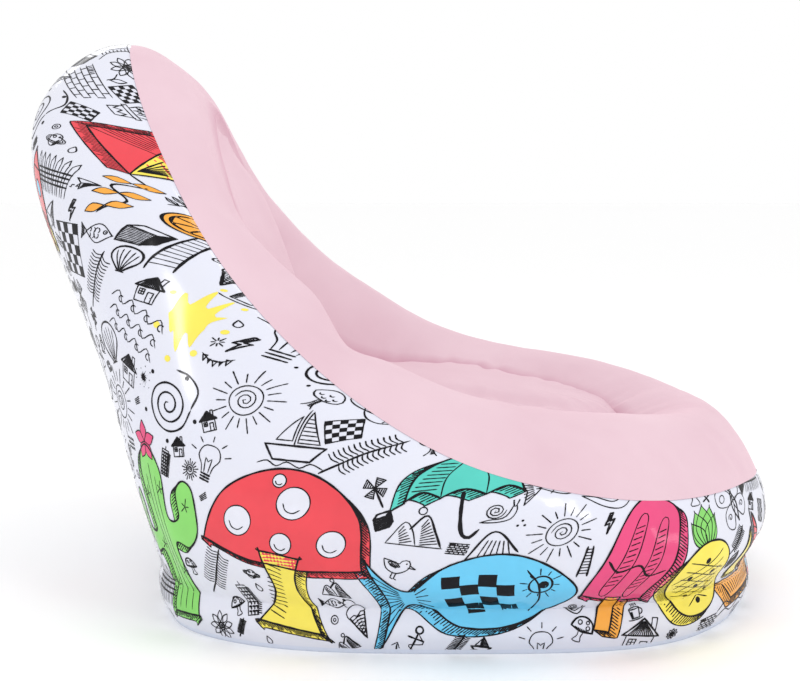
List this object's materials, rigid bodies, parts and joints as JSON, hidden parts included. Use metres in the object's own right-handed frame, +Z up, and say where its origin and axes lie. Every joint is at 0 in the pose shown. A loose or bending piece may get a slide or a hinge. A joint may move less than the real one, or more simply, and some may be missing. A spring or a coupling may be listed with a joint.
{
  "type": "inflatable lounge chair",
  "caption": "Inflatable lounge chair with a reclined back and a low seat: flocked top, printed vinyl walls, inner webs and a capped air valve.",
  "frame": {"origin": "centre of the chair's bounding box in plan, on the floor", "axes": "+X towards the front of the seat, +Y to the sitter's left, +Z up"},
  "size_m": [1.1337, 0.9804, 0.8297],
  "materials": {
    "pink_flock": "matte",
    "printed_vinyl": "gloss",
    "plain_vinyl": "satin",
    "web_vinyl": "satin",
    "valve_vinyl": "satin"
  },
  "bodies": {
    "chair": {"top_panel": "pink_flock", "right_wall": "printed_vinyl", "left_wall": "printed_vinyl", "bottom_panel": "plain_vinyl", "base_web": "web_vinyl", "seat_web": "web_vinyl", "back_web": "web_vinyl", "valve_patch": "web_vinyl", "valve_base": "valve_vinyl"},
    "stopper": {"valve_stopper": "valve_vinyl"},
    "cap": {"valve_cap": "valve_vinyl"},
    "flap": {"valve_flap": "valve_vinyl"}
  },
  "joints": [
    {"name": "stopper_hinge", "type": "hinge", "parent": "chair", "child": "stopper", "pos_m": [-0.39054, 0.19402, 0.17855], "axis": [-0.2567, 0.0456, 0.9654], "range_deg": [0, 120]},
    {"name": "cap_hinge", "type": "hinge", "parent": "stopper", "child": "cap", "pos_m": [-0.38666, 0.23955, 0.17743], "axis": [0.2567, -0.0456, -0.9654], "range_deg": [0, 150]},
    {"name": "flap_hinge", "type": "hinge", "parent": "stopper", "child": "flap", "pos_m": [-0.37781, 0.2077, 0.18129], "axis": [0.2567, -0.0456, -0.9654], "range_deg": [0, 60], "stiffness_Nm_per_rad": 0.001}
  ]
}
